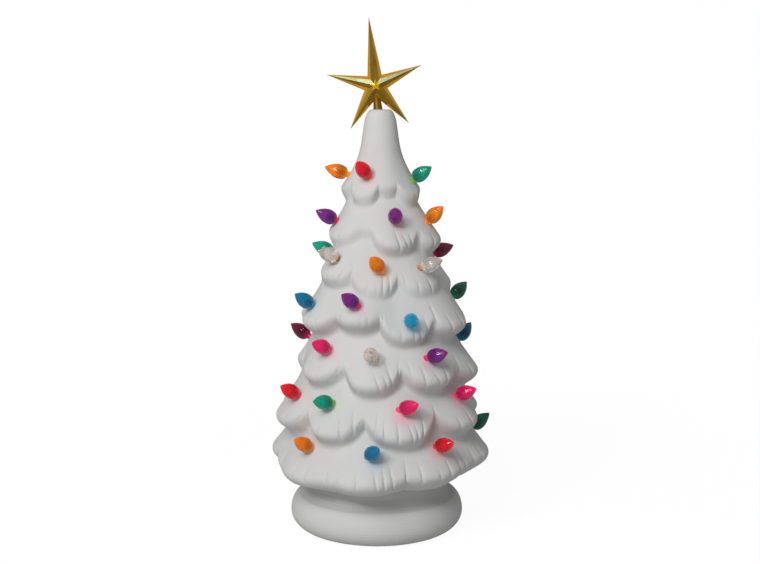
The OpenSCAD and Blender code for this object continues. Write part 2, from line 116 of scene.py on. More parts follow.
def build_floor():
    """White paper: near the object a part of it takes the shadow, and far off all of the white is its own."""
    deselect()
    bpy.ops.mesh.primitive_plane_add(size=12, location=(0, 0, 0))
    floor = bpy.context.object
    floor.name = "floor"
    material = bpy.data.materials.new("floor_paper")
    material.use_nodes = True
    tree = material.node_tree
    tree.nodes.clear()
    out = tree.nodes.new("ShaderNodeOutputMaterial")
    paper = tree.nodes.new("ShaderNodeBsdfDiffuse")
    paper.inputs["Color"].default_value = (0.62, 0.62, 0.62, 1)
    glow = tree.nodes.new("ShaderNodeEmission")
    glow.inputs["Color"].default_value = (1, 1, 1, 1)
    far = tree.nodes.new("ShaderNodeVectorMath")
    far.operation = "LENGTH"
    tree.links.new(tree.nodes.new("ShaderNodeTexCoord").outputs["Object"], far.inputs[0])
    share = ramp(tree, far.outputs["Value"], 0.25, 0.8, OWN_WHITE, 1.0)
    tree.links.new(ramp(tree, share, OWN_WHITE, 1.0, 1.08, 1.0), glow.inputs["Strength"])
    seen = tree.nodes.new("ShaderNodeMath")
    seen.operation = "MULTIPLY"
    tree.links.new(share, seen.inputs[0])
    tree.links.new(seen_directly(tree), seen.inputs[1])
    mix_shaders(tree, seen.outputs[0], paper, glow, out)
    wear(floor.data, material)


def soft_lamp(name, place, size, power):
    turn = (LAMP_AIM - Vector(place)).to_track_quat("-Z", "Y").to_euler()
    bpy.ops.object.light_add(type="AREA", location=place, rotation=turn)
    lamp = bpy.context.object
    lamp.name = name
    lamp.data.shape = "DISK"
    lamp.data.size = size
    lamp.data.energy = power


def build_studio():
    place_camera()
    build_world()
    build_floor()
    soft_lamp("key_light", (-0.5, -1.15, 1.15), size=0.9, power=12)
    soft_lamp("glint_light", (-0.75, -1.2, 0.95), size=0.35, power=6)
    bpy.context.scene.view_settings.view_transform = "Standard"


# ---- Shared effects and materials ----

# Most of a noise lies between these
NOISE_LOW = 0.3
NOISE_HIGH = 0.7


def wear(mesh, *materials):
    """Gives a mesh these materials and no others."""
    mesh.materials.clear()
    for material in materials:
        mesh.materials.append(material)


def effect_group(name, inputs, outputs):
    group = bpy.data.node_groups.new(name, "ShaderNodeTree")
    for label, kind, value in inputs:
        socket = group.interface.new_socket(label, in_out="INPUT", socket_type=kind)
        socket.default_value = value
    for label, kind in outputs:
        group.interface.new_socket(label, in_out="OUTPUT", socket_type=kind)
    return group, group.nodes.new("NodeGroupInput"), group.nodes.new("NodeGroupOutput")


def noise(tree, vector, scale, detail=3.0, roughness=0.5):
    node = tree.nodes.new("ShaderNodeTexNoise")
    node.inputs["Detail"].default_value = detail
    node.inputs["Roughness"].default_value = roughness
    tree.links.new(scale, node.inputs["Scale"])
    tree.links.new(vector, node.inputs["Vector"])
    return node.outputs["Fac"]


def mix_colour(tree, share, one, other):
    node = tree.nodes.new("ShaderNodeMix")
    node.data_type = "RGBA"
    for value, socket in ((share, node.inputs["Factor"]), (one, node.inputs["A"]), (other, node.inputs["B"])):
        if isinstance(value, tuple):
            socket.default_value = value
        else:
            tree.links.new(value, socket)
    return node.outputs["Result"]


def ramp(tree, value, low, high, start=0.0, end=1.0):
    node = tree.nodes.new("ShaderNodeMapRange")
    node.inputs["From Min"].default_value = low
    node.inputs["From Max"].default_value = high
    node.inputs["To Min"].default_value = start
    node.inputs["To Max"].default_value = end
    tree.links.new(value, node.inputs["Value"])
    return node.outputs["Result"]


def build_mottle():
    """Two tones in soft clouds, with finer specks: for fired clay, moulded plastic and handled metal alike."""
    group, inside, outside = effect_group(
        "mottle",
        [("Tone", "NodeSocketColor", (0.8, 0.8, 0.8, 1)), ("Other Tone", "NodeSocketColor", (0.7, 0.7, 0.7, 1)),
         ("Cloud Scale", "NodeSocketFloat", 60.0), ("Grain Scale", "NodeSocketFloat", 1500.0)],
        [("Colour", "NodeSocketColor"), ("Cloud", "NodeSocketFloat"), ("Grain", "NodeSocketFloat")])
    place = group.nodes.new("ShaderNodeTexCoord").outputs["Object"]
    cloud = noise(group, place, inside.outputs["Cloud Scale"])
    grain = noise(group, place, inside.outputs["Grain Scale"], 2.0, 0.6)
    share = ramp(group, cloud, NOISE_LOW, NOISE_HIGH)
    colour = mix_colour(group, share, inside.outputs["Tone"], inside.outputs["Other Tone"])
    group.links.new(colour, outside.inputs["Colour"])
    group.links.new(cloud, outside.inputs["Cloud"])
    group.links.new(grain, outside.inputs["Grain"])
    return group


def new_material(name):
    material = bpy.data.materials.new(name)
    material.use_nodes = True
    tree = material.node_tree
    return material, tree, tree.nodes["Principled BSDF"]


def add_mottle(tree, group, tone, other, cloud_scale, grain_scale):
    node = tree.nodes.new("ShaderNodeGroup")
    node.node_tree = group
    node.inputs["Tone"].default_value = (*tone, 1)
    node.inputs["Other Tone"].default_value = (*other, 1)
    node.inputs["Cloud Scale"].default_value = cloud_scale
    node.inputs["Grain Scale"].default_value = grain_scale
    return node


def roughen(tree, shader, value, low, high):
    """Roughness that follows a noise from low to high."""
    tree.links.new(ramp(tree, value, NOISE_LOW, NOISE_HIGH, low, high), shader.inputs["Roughness"])


def add_bump(tree, shader, height, depth, strength):
    bump = tree.nodes.new("ShaderNodeBump")
    bump.inputs["Distance"].default_value = depth
    bump.inputs["Strength"].default_value = strength
    tree.links.new(height, bump.inputs["Height"])
    tree.links.new(bump.outputs["Normal"], shader.inputs["Normal"])


def build_painted_glow():
    """Painted glow: a soft round patch of a bulb's coloured light, drawn into the clay's colour beside it."""
    group, inside, outside = effect_group(
        "painted_glow",
        [("Base", "NodeSocketColor", (0.6, 0.6, 0.6, 1)), ("Tint", "NodeSocketColor", (0.9, 0.3, 0.4, 1)),
         ("Place", "NodeSocketVector", (0, 0, 0)), ("Reach", "NodeSocketFloat", 0.008),
         ("Share", "NodeSocketFloat", 0.3)],
        [("Colour", "NodeSocketColor")])
    place = group.nodes.new("ShaderNodeTexCoord").outputs["Object"]
    apart = group.nodes.new("ShaderNodeVectorMath")
    apart.operation = "DISTANCE"
    group.links.new(place, apart.inputs[0])
    group.links.new(inside.outputs["Place"], apart.inputs[1])
    near = group.nodes.new("ShaderNodeMapRange")
    near.interpolation_type = "SMOOTHSTEP"
    near.inputs["To Max"].default_value = 0.0
    group.links.new(apart.outputs["Value"], near.inputs["Value"])
    group.links.new(inside.outputs["Reach"], near.inputs["From Max"])
    group.links.new(inside.outputs["Share"], near.inputs["To Min"])
    colour = mix_colour(group, near.outputs["Result"], inside.outputs["Base"], inside.outputs["Tint"])
    group.links.new(colour, outside.inputs["Colour"])
    return group


# Painted glow of the bulbs' coloured light on the clay: bulb, tint, offset from its hole in millimetres, reach in
# metres and strength
PAINTED_GLOWS = [
    ("bulb_2c", (0.95, 0.22, 0.36), (1, -2, -6), 0.011, 0.40),
    ("bulb_2d", (0.90, 0.22, 0.36), (-1, -2, -6), 0.009, 0.28),
    ("bulb_1d", (0.92, 0.20, 0.14), (0, -2, -5), 0.009, 0.32),
    ("bulb_1c", (0.25, 0.55, 0.80), (5, -2, -6), 0.010, 0.30),
    ("bulb_1d", (0.90, 0.32, 0.24), (-5, 2, 17), 0.012, 0.22),
    ("bulb_4c", (0.25, 0.65, 0.85), (4, -2, -4), 0.008, 0.32),
    ("bulb_5c", (0.95, 0.62, 0.30), (3, -2, -4), 0.008, 0.25),
    ("bulb_3b", (0.90, 0.22, 0.40), (4, -2, -4), 0.008, 0.22),
    ("bulb_7b", (0.90, 0.20, 0.20), (3, -2, -4), 0.007, 0.22),
    ("bulb_2b", (0.45, 0.75, 0.35), (4, -2, -4), 0.007, 0.22),
    ("bulb_3d", (0.90, 0.25, 0.45), (0, -2, -6), 0.009, 0.25),
    ("bulb_4b", (0.80, 0.20, 0.45), (3, -2, -4), 0.007, 0.22),
]


def build_ceramic(mottle, name, painted_glow=None):
    material, tree, shader = new_material(name)
    look = add_mottle(tree, mottle, (0.630, 0.628, 0.618), (0.605, 0.603, 0.594), 45.0, 1400.0)
    colour = look.outputs["Colour"]
    # Painted glow: each bulb's coloured light is mixed into the clay's colour near its hole
    for node, tint, offset, reach, share in PAINTED_GLOWS if painted_glow else ():
        glow_patch = tree.nodes.new("ShaderNodeGroup")
        glow_patch.node_tree = painted_glow
        glow_patch.inputs["Tint"].default_value = (*tint, 1)
        glow_patch.inputs["Place"].default_value = bulb_place(node).translation + Vector(offset) * MM
        glow_patch.inputs["Reach"].default_value = reach
        glow_patch.inputs["Share"].default_value = share
        tree.links.new(colour, glow_patch.inputs["Base"])
        colour = glow_patch.outputs["Colour"]
    tree.links.new(colour, shader.inputs["Base Color"])
    roughen(tree, shader, look.outputs["Cloud"], 0.78, 0.9)
    shader.inputs["Specular IOR Level"].default_value = 0.25
    add_bump(tree, shader, look.outputs["Grain"], 0.0001, 0.6)
    return material


# Each bulb colour: its body's tint and the tint of its peg and foot, which gather the light
BULB_TINTS = {
    "bulb_amber": ((1.0, 0.28, 0.0), (1.0, 0.42, 0.04)),
    "bulb_orange": ((1.0, 0.31, 0.0), (1.0, 0.40, 0.04)),
    "bulb_red": ((0.95, 0.004, 0.03), (1.0, 0.04, 0.07)),
    "bulb_green": ((0.0, 0.42, 0.28), (0.36, 0.60, 0.08)),
    "bulb_dark_green": ((0.0, 0.09, 0.05), (0.01, 0.24, 0.11)),
    "bulb_purple": ((0.27, 0.02, 0.33), (0.90, 0.04, 0.20)),
    "bulb_clear": ((1.0, 0.95, 0.90), (1.0, 0.62, 0.42)),
    "bulb_cyan": ((0.0, 0.44, 0.70), (0.24, 0.66, 0.80)),
    "bulb_blue": ((0.0, 0.25, 0.47), (0.05, 0.46, 0.70)),
    "bulb_magenta": ((1.0, 0.01, 0.20), (1.0, 0.10, 0.30)),
    "bulb_teal": ((0.0, 0.06, 0.13), (0.0, 0.18, 0.30)),
    "bulb_maroon": ((0.16, 0.0, 0.03), (0.62, 0.01, 0.12)),
}
# Where along a bulb, as shares of its length, the foot's painted glow gives way to the core's painted shade, and
# that to the body's own tint
FOOT_TO_CORE = (0.38, 0.47)
CORE_TO_BODY = (0.58, 0.76)


def build_bulb_plastic(mottle, slot):
    """Plastic with a painted glow at its foot, painted shade in its hollow middle and a clear tip."""
    is_clear = slot == "bulb_clear"
    tint, foot = BULB_TINTS[slot]
    material, tree, shader = new_material(slot.replace("bulb_", "bulb_plastic_"))
    deeper = tuple(part * 0.8 for part in tint)
    look = add_mottle(tree, mottle, tint, deeper, 160.0, 900.0)
    along = tree.nodes.new("ShaderNodeAttribute")
    along.attribute_name = "along"
    # Painted shade: the hollow middle is drawn darker than the body's own tint
    core = tuple(part * (0.75 if is_clear else 0.5) for part in tint)
    body = mix_colour(tree, ramp(tree, along.outputs["Fac"], *CORE_TO_BODY), (*core, 1), look.outputs["Colour"])
    # Painted glow: the peg and foot in a brighter tint, for the light they gather
    colour = mix_colour(tree, ramp(tree, along.outputs["Fac"], *FOOT_TO_CORE), (*foot, 1), body)
    tree.links.new(colour, shader.inputs["Base Color"])
    roughen(tree, shader, look.outputs["Grain"], 0.02, 0.06)
    shader.inputs["Transmission Weight"].default_value = 0.75 if is_clear else 0.6
    shader.inputs["IOR"].default_value = 1.42
    # Light that has scattered about inside the plastic
    if not is_clear:
        tree.links.new(colour, shader.inputs["Emission Color"])
        shader.inputs["Emission Strength"].default_value = 0.12
    return material


def build_metal(mottle, name, tone, other, rough_low, rough_high, metallic=1.0):
    material, tree, shader = new_material(name)
    look = add_mottle(tree, mottle, tone, other, 90.0, 1200.0)
    tree.links.new(look.outputs["Colour"], shader.inputs["Base Color"])
    roughen(tree, shader, look.outputs["Cloud"], rough_low, rough_high)
    shader.inputs["Metallic"].default_value = metallic
    add_bump(tree, shader, look.outputs["Grain"], 0.00003, 0.3)
    return material


def build_black_plastic(mottle):
    material, tree, shader = new_material("black_moulding")
    look = add_mottle(tree, mottle, (0.02, 0.02, 0.021), (0.03, 0.03, 0.031), 120.0, 2500.0)
    tree.links.new(look.outputs["Colour"], shader.inputs["Base Color"])
    roughen(tree, shader, look.outputs["Cloud"], 0.4, 0.55)
    add_bump(tree, shader, look.outputs["Grain"], 0.00005, 0.5)
    return material


def build_glass(mottle, name, tint, rough):
    material, tree, shader = new_material(name)
    look = add_mottle(tree, mottle, tint, tuple(part * 0.96 for part in tint), 80.0, 700.0)
    tree.links.new(look.outputs["Colour"], shader.inputs["Base Color"])
    roughen(tree, shader, look.outputs["Cloud"], rough, rough + 0.04)
    shader.inputs["Transmission Weight"].default_value = 1.0
    shader.inputs["IOR"].default_value = 1.5
    return material


# ---- The tree's form ----

# Tiers, lowest first: the lip between boughs, then the boughs as azimuth, lip, reach, half width and rise.
# Azimuths are degrees from the front, half widths shares of a turn, the rest shares of the height and reach.
TIERS = [
    (0.070, [(-98, 0.062, 0.890, 0.066, 0.035), (-50, 0.018, 0.930, 0.078, 0.034),
        (-8, 0.026, 0.985, 0.068, 0.034), (36, 0.044, 0.950, 0.072, 0.030),
        (82, 0.066, 0.935, 0.068, 0.032), (127, 0.058, 0.950, 0.068, 0.036),
        (172, 0.050, 0.960, 0.068, 0.036), (217, 0.058, 0.940, 0.068, 0.036)]),
    (0.205, [(-70, 0.158, 0.906, 0.062, 0.048), (-28, 0.152, 0.900, 0.056, 0.055),
        (15, 0.148, 0.920, 0.062, 0.058), (62, 0.156, 0.931, 0.064, 0.050),
        (108, 0.160, 0.920, 0.062, 0.050), (151, 0.158, 0.910, 0.060, 0.052),
        (196, 0.160, 0.910, 0.060, 0.052), (241, 0.160, 0.910, 0.062, 0.050)]),
    (0.336, [(-90, 0.305, 0.701, 0.056, 0.045), (-46, 0.292, 0.785, 0.056, 0.050),
        (-4, 0.280, 0.820, 0.056, 0.060), (39, 0.288, 0.850, 0.064, 0.052),
        (80, 0.280, 0.880, 0.060, 0.050), (118, 0.290, 0.851, 0.060, 0.050),
        (155, 0.288, 0.840, 0.058, 0.052), (192, 0.290, 0.830, 0.058, 0.052),
        (229, 0.296, 0.800, 0.058, 0.050)]),
    (0.470, [(-98, 0.428, 0.680, 0.060, 0.045), (-57, 0.427, 0.725, 0.062, 0.048),
        (-17, 0.450, 0.700, 0.054, 0.046), (21, 0.405, 0.730, 0.056, 0.066),
        (62, 0.420, 0.806, 0.068, 0.052), (102, 0.421, 0.759, 0.064, 0.050),
        (142, 0.432, 0.740, 0.062, 0.050), (182, 0.423, 0.730, 0.062, 0.052),
        (222, 0.432, 0.720, 0.062, 0.050)]),
    (0.586, [(-95, 0.546, 0.480, 0.068, 0.044), (-46, 0.554, 0.590, 0.066, 0.046),
        (-3, 0.524, 0.590, 0.062, 0.060), (42, 0.524, 0.620, 0.068, 0.050),
        (86, 0.522, 0.618, 0.068, 0.046), (129, 0.540, 0.600, 0.066, 0.050),
        (172, 0.534, 0.590, 0.066, 0.052), (216, 0.542, 0.580, 0.066, 0.050)]),
    (0.706, [(-58, 0.654, 0.470, 0.092, 0.050), (18, 0.638, 0.500, 0.082, 0.062),
        (68, 0.640, 0.550, 0.070, 0.050), (118, 0.646, 0.505, 0.076, 0.052),
        (167, 0.640, 0.500, 0.076, 0.052), (216, 0.650, 0.490, 0.076, 0.052),
        (258, 0.658, 0.430, 0.074, 0.050)]),
    (0.822, [(-84, 0.778, 0.336, 0.072, 0.034), (-30, 0.766, 0.345, 0.078, 0.044),
        (14, 0.798, 0.290, 0.050, 0.030), (55, 0.764, 0.370, 0.074, 0.044),
        (100, 0.774, 0.350, 0.072, 0.040), (148, 0.774, 0.335, 0.072, 0.040),
        (197, 0.776, 0.340, 0.072, 0.040), (238, 0.776, 0.330, 0.072, 0.040)]),
]
# The body under the boughs: height and radius as shares of the tree's height and reach
CORE_HEIGHTS = (0, 0.049, 0.148, 0.276, 0.403, 0.538, 0.635, 0.764, 0.878, 0.970, 0.985, 0.994, 1)
CORE_REACHES = (0.680, 0.690, 0.730, 0.620, 0.540, 0.440, 0.362, 0.252, 0.179, 0.137, 0.122, 0.108, 0.088)
# Rounding of the lips and of the creases between boughs, and how far a bough's face falls back at its edges
LIP_ROUND = 13.0
CREASE_ROUND = 8.0
SWELL = 8.0
# The higher, the squarer the tongue at a bough's lip
TONGUE_POWER = 2.6
# Millimetres in for each one up, on the face and, the other way, on the underside; the face's eases off
FACE_LEAN = 0.8
LEAN_EASE = 0.6
UNDER_LEAN = 1.5
# Over this share of the tree's height the boughs of a tier flatten into one face, by so much
FADE_HEIGHT = 0.11
FADE_MOST = 0.6
# A tier's form is worked out from here to there beside its lip, as shares of the tree's height
TIER_BELOW = -0.19
TIER_ABOVE = 0.31
# The tree's top stands aside by this, which begins at LEAN_FROM and is full LEAN_OVER further up
TOP_SHIFT = 1.8
LEAN_FROM = 0.2
LEAN_OVER = 0.5
# The finished clay lies this far inside the solid; the hollow's wall, and how far it follows the boughs
SKIN_INSET = 0.15
WALL = 5.0
HOLLOW_FOLLOWS = 0.6
# The mouth in the tree's foot, the hole for the star's peg and the vent under it
MOUTH_RADIUS = 46.8
MOUTH_DEPTH = 12
STAR_HOLE_RADIUS = 3.9
STAR_HOLE_DEPTH = 12
VENT_RADIUS = 2.5
# Strokes carved up from each tier's lip: azimuth there, length in millimetres, turn in degrees on the way up
STROKES = [
    [(-70, 14, 1), (-52, 12, 3), (-42, 11, 0), (-27, 13, -1), (-20.5, 9, 1), (-10, 12, 0), (0, 13, -1.5),
     (4, 14, -1), (8.5, 16, -2), (15.7, 15, 0), (24, 13, -1), (34, 8, -1), (41, 13, -1), (50, 13, -1),
     (56, 14, -2), (64, 11, -1), (72, 12, -2)],
    [(-73, 10, 2), (-63, 9, 2), (-53, 10, 3), (-44, 12, 1), (-35.5, 10, 2), (-20, 16, -2), (-13.5, 17, -1.5),
     (-11, 5, 2), (-1, 18, 2.5), (4, 15, 0.5), (11.5, 14, 0), (19.5, 12, -2), (22.5, 12, -1), (26, 14, 1.5),
     (39, 10, -1.5), (52, 9, -2), (61, 12, -1), (70, 10, -2)],
    [(-64, 8, 2), (-52, 9, 2), (-42, 8, 1), (-29, 8, 2), (-21, 8, 0.5), (1.5, 12, -4), (6, 11, -3),
     (9.5, 19, -5), (13.5, 12, 1), (21.5, 11, -1), (29.5, 12, -1.5), (38.5, 9, -4), (44.5, 13, -1),
     (51, 9, -1), (62, 12, -1), (72, 11, -2)],
    [(-70, 9, 2), (-60, 10, 2), (-50, 9, 1), (-29.5, 9, 1), (-24, 7, 1), (-12, 6, -1), (-7, 7, -1),
     (3, 11, 0.5), (8.5, 6, 1), (16, 8, -0.5), (25, 8, -1), (30, 12, -4), (35.5, 14, -2), (43, 16, -1.5),
     (53, 11, -3), (64, 12, -2), (74, 10, -1)],
    [(-62, 8, 2), (-50, 8, 2), (-41.5, 4, 1), (-35.5, 10, 3), (-26.5, 11, 2), (-20, 9, 1), (-10, 7, 1),
     (-2, 6, 0), (3.5, 15, 0), (9.5, 14, -1), (24, 10, -1.5), (34, 9, -1), (46, 11, -2), (60, 10, -2),
     (76, 9, -1)],
    [(-66, 9, 2), (-52, 8, 2), (-40, 7, 1), (21, 14, -5), (30, 10, -6), (35, 10, -3), (48, 7, -1), (60, 9, -1),
     (74, 8, -2)],
    [(56, 6, -2)],
]
# Boughs further round than this get the same four strokes each, at these shares of their half width
SEEN_TO = 84
BACK_STROKES = (-0.6, -0.2, 0.25, 0.65)
# A stroke's section: a fine cut in a softer one, each as depth and half width; past STROKE_REACH it has no effect
STROKE_SECTIONS = ((0.85, 0.75), (0.45, 2.2))
STROKE_REACH = 8
DEGREES_IN_RADIAN = 57.3
# Specks left on the clay by the mould: azimuth, height, size and how far they stand out in millimetres
SPECKS = [(8, 209, 1.0, 0.4), (11.5, 208, 0.8, 0.3), (15, 209.5, 1.1, 0.4), (12, 211, 0.8, 0.3),
          (27, 75, 1.0, 0.35), (29, 77, 0.7, 0.3), (-31, 153, 0.8, 0.3)]


def softer(one, other, width):
    """The smaller of two values, with a soft change from one to the other over the width."""
    close = np.maximum(width - np.abs(one - other), 0) / width
    return np.minimum(one, other) - close * close * width / 4


def stouter(one, other, width):
    """The larger of two values, as soft."""
    return -softer(-one, -other, width)


def core_radius(height):
    return TREE_REACH * np.interp(height / TREE_HEIGHT, CORE_HEIGHTS, CORE_REACHES)


def turn_to(azimuth, middle):
    return (azimuth - middle + 180) % 360 - 180


def lip_height(tier, azimuth):
    """Height of a tier's lip, where each bough ends in a round tongue."""
    edge = np.full(azimuth.shape, TREE_HEIGHT * tier[0])
    for middle, lip, reach, half, rise in tier[1]:
        across = np.abs(turn_to(azimuth, middle)) / (half * 360)
        bow = np.sqrt(np.maximum(1 - across ** TONGUE_POWER, 0))
        edge = softer(edge, TREE_HEIGHT * (lip + rise * (1 - bow)), CREASE_ROUND)
    return edge


def face_radius(tier, azimuth, height):
    """Radius of a tier's face, the stoutest of its boughs' faces."""
    face = None
    for middle, lip, reach, half, rise in tier[1]:
        across = turn_to(azimuth, middle) / (half * 360)
        up = height - TREE_HEIGHT * lip
        fade = FADE_MOST * np.clip(up / (FADE_HEIGHT * TREE_HEIGHT), 0, 1)
        lean = FACE_LEAN * up * (1 - LEAN_EASE * up / TREE_HEIGHT)
        own = TREE_REACH * reach - lean - SWELL * reach * across * across * (1 - fade)
        face = own if face is None else stouter(face, own, CREASE_ROUND)
    return face


def strokes_of(count):
    """The strokes at the front as listed, and four on each bough that the photo doesn't show."""
    rows = list(STROKES[count])
    for middle, _, _, half, _ in TIERS[count][1]:
        if abs(turn_to(middle, 0)) > SEEN_TO:
            rows += [(middle + half * 360 * share, 9 + 4 * abs(share), -2 * share) for share in BACK_STROKES]
    return rows


def carved(count, azimuth, above, radius):
    """Depth of the strokes that run up from a tier's lip; above is the height over the lip."""
    depth = np.zeros(azimuth.shape)
    for start, length, turn in strokes_of(count):
        off = turn_to(azimuth, start + turn * np.clip(above / length, 0, 1))
        near = np.abs(off) * radius < STROKE_REACH * DEGREES_IN_RADIAN
        aside = np.radians(off[near]) * radius[near]
        # It comes up from 5 mm under the lip and fades out over its upper part; short strokes are shallower
        along = np.clip((above[near] + 5) / 7, 0, 1) * np.clip((length - above[near]) / (0.7 * length), 0, 1)
        along *= min(length / 12, 1.2)
        depth[near] += along * sum(deep * np.exp(-(aside / wide) ** 2) for deep, wide in STROKE_SECTIONS)
    return depth


def tree_radius(azimuth, height, fine=True):
    """Radius of the tree's outside at each azimuth in degrees and height over its foot."""
    radius = core_radius(height)
    for count, tier in enumerate(TIERS):
        up = height / TREE_HEIGHT - tier[0]
        near = (up < TIER_ABOVE) & (up > TIER_BELOW)
        turn, level = azimuth[near], height[near]
        edge = lip_height(tier, turn)
        under = face_radius(tier, turn, edge) + UNDER_LEAN * (level - edge)
        own = softer(face_radius(tier, turn, level), under, LIP_ROUND) + LIP_ROUND / 5
        if fine:
            own = own - carved(count, turn, level - edge, own)
        radius[near] = stouter(radius[near], own, CREASE_ROUND)
    return radius


def skin_radius(azimuth, height):
    """The finished outside: a hair inside the solid, with its specks."""
    radius = tree_radius(azimuth, height) - SKIN_INSET
    for middle, level, size, tall in SPECKS:
        aside = np.radians(turn_to(azimuth, middle)) * radius
        radius += tall * np.exp(-(aside ** 2 + (height - level) ** 2) / (size * size))
    return radius


def hollow_radius(azimuth, height):
    core = core_radius(height)
    return core + HOLLOW_FOLLOWS * (tree_radius(azimuth, height, fine=False) - core) - WALL


def lean_aside(height):
    return TOP_SHIFT * np.clip((height / TREE_HEIGHT - LEAN_FROM) / LEAN_OVER, 0, 1)


def deselect():
    if bpy.context.mode != "OBJECT":
        bpy.ops.object.mode_set(mode="OBJECT")
    bpy.ops.object.select_all(action="DESELECT")


def only(piece):
    deselect()
    bpy.context.view_layer.objects.active = piece
    piece.select_set(True)


def face_out():
    """Turns every face of the mesh in edit mode outward and goes back to object mode."""
    bpy.ops.mesh.select_all(action="SELECT")
    bpy.ops.mesh.normals_make_consistent(inside=False)
    bpy.ops.object.mode_set(mode="OBJECT")


def smooth(piece, angle):
    """Shades a piece smooth, apart from the edges sharper than the angle."""
    only(piece)
    bpy.ops.object.shade_smooth_by_angle(angle=math.radians(angle))


def wrap_grid(name, columns, rows, radius_at, low, high):
    """A flat grid wrapped round the tree's axis to the radius given, and closed at its seam and its ends."""
    deselect()
    bpy.ops.mesh.primitive_grid_add(x_subdivisions=columns, y_subdivisions=rows, size=2)
    sheet = bpy.context.object
    sheet.name = name
    flat = np.empty(len(sheet.data.vertices) * 3)
    sheet.data.vertices.foreach_get("co", flat)
    flat = flat.reshape(-1, 3)
    azimuth = flat[:, 0] * 180
    height = low + (flat[:, 1] + 1) / 2 * (high - low)
    radius = radius_at(azimuth, height)
    angle = np.radians(azimuth)
    x = radius * np.sin(angle) + lean_aside(height)
    wrapped = np.stack([x, -radius * np.cos(angle), height + TREE_FOOT], 1)
    sheet.data.vertices.foreach_set("co", (wrapped * MM).ravel())
    sheet.data.update()
    only(sheet)
    bpy.ops.object.mode_set(mode="EDIT")
    bpy.ops.mesh.select_all(action="SELECT")
    bpy.ops.mesh.remove_doubles(threshold=1e-7)
    bpy.ops.mesh.select_all(action="DESELECT")
    bpy.ops.mesh.select_non_manifold(extend=False, use_boundary=True, use_wire=False, use_multi_face=False,
                                     use_non_contiguous=False, use_verts=False)
    bpy.ops.mesh.edge_face_add()
    face_out()
    return sheet


def add_rod(name, radius, low, high, steps=48):
    deselect()
    bpy.ops.mesh.primitive_cylinder_add(vertices=steps, radius=radius * MM, depth=(high - low) * MM,
                                        location=(0, 0, (low + high) / 2 * MM))
    rod = bpy.context.object
    rod.name = name
    return rod


def combine(piece, other, operation):
    only(piece)
    boolean = piece.modifiers.new("boolean", "BOOLEAN")
    boolean.operation = operation
    boolean.solver = "MANIFOLD"
    boolean.object = other
    bpy.ops.object.modifier_apply(modifier=boolean.name)
    bpy.data.objects.remove(other)


def cut(piece, cutter):
    combine(piece, cutter, "DIFFERENCE")


def fuse(piece, other):
    combine(piece, other, "UNION")


def bake_place(piece):
    only(piece)
    bpy.ops.object.transform_apply(location=True, rotation=True, scale=True)


# ---- The bulbs ----

# The peg under a bulb's shoulders, in the clay and out of it, the bulb above it and the blind pipe up its middle
PEG_RADIUS = 2.3
PEG_IN = 9.0
PEG_OUT = 1.6
BULB_LENGTH = 17.4
BULB_RADIUS = 5.5
BULB_TIP = PEG_OUT + BULB_LENGTH
PIPE_RADIUS = 1.5
# Flutes: how many, their depth as a share of the radius and their twist in radians
FLUTES = 12
FLUTE_DEPTH = 0.08
FLUTE_TWIST = 0.5
# Degrees that each bulb is turned on from the one before, so that no two look alike
SPIN_STEP = 137.5
# Points this close, in metres, to the furthest one belong to the same end of a bulb
END_DEPTH = 2e-5


def bulb_place(node):
    """Turns a bulb modelled along +Z, with the tree's surface at 0, to where the frame has it."""
    points = np.empty(len(NODES[node].data.vertices) * 3)
    NODES[node].data.vertices.foreach_get("co", points)
    points = np.unique(np.round(points.reshape(-1, 3), 6), axis=0)
    apart = np.linalg.norm(points[:, None, :] - points[None, :, :], axis=2)
    first, second = np.unravel_index(np.argmax(apart), apart.shape)
    # Each end is what lies furthest from the other, and the tip is the narrower end
    ends = [points[apart[other] > apart[other].max() - END_DEPTH] for other in (second, first)]
    spread = [np.ptp(end, axis=0).max() for end in ends]
    tip, root = ends if spread[0] < spread[1] else reversed(ends)
    tip, root = tip.mean(axis=0), root.mean(axis=0)
    along = Vector(tip - root).normalized()
    surface = Vector(tip) - along * (BULB_TIP * MM)
    return Matrix.Translation(surface) @ along.to_track_quat("Z", "Y").to_matrix().to_4x4()


def lathe_by_hand(name, profile, steps):
    """A closed turned form: a small disc, extruded and scaled ring by ring to the profile (radius, height)."""
    radius, height = profile[0]
    deselect()
    bpy.ops.mesh.primitive_circle_add(vertices=steps, radius=radius * MM, location=(0, 0, 0), fill_type="NGON")
    piece = bpy.context.object
    piece.name = name
    bpy.ops.object.mode_set(mode="EDIT")
    bpy.ops.mesh.select_all(action="SELECT")
    bpy.ops.transform.translate(value=(0, 0, height * MM))
    for next_radius, next_height in profile[1:]:
        bpy.ops.mesh.extrude_region_move(TRANSFORM_OT_translate={"value": (0, 0, (next_height - height) * MM)})
        grow = next_radius / radius
        bpy.ops.transform.resize(value=(grow, grow, 1), center_override=(0, 0, next_height * MM))
        radius, height = next_radius, next_height
    face_out()
    return piece


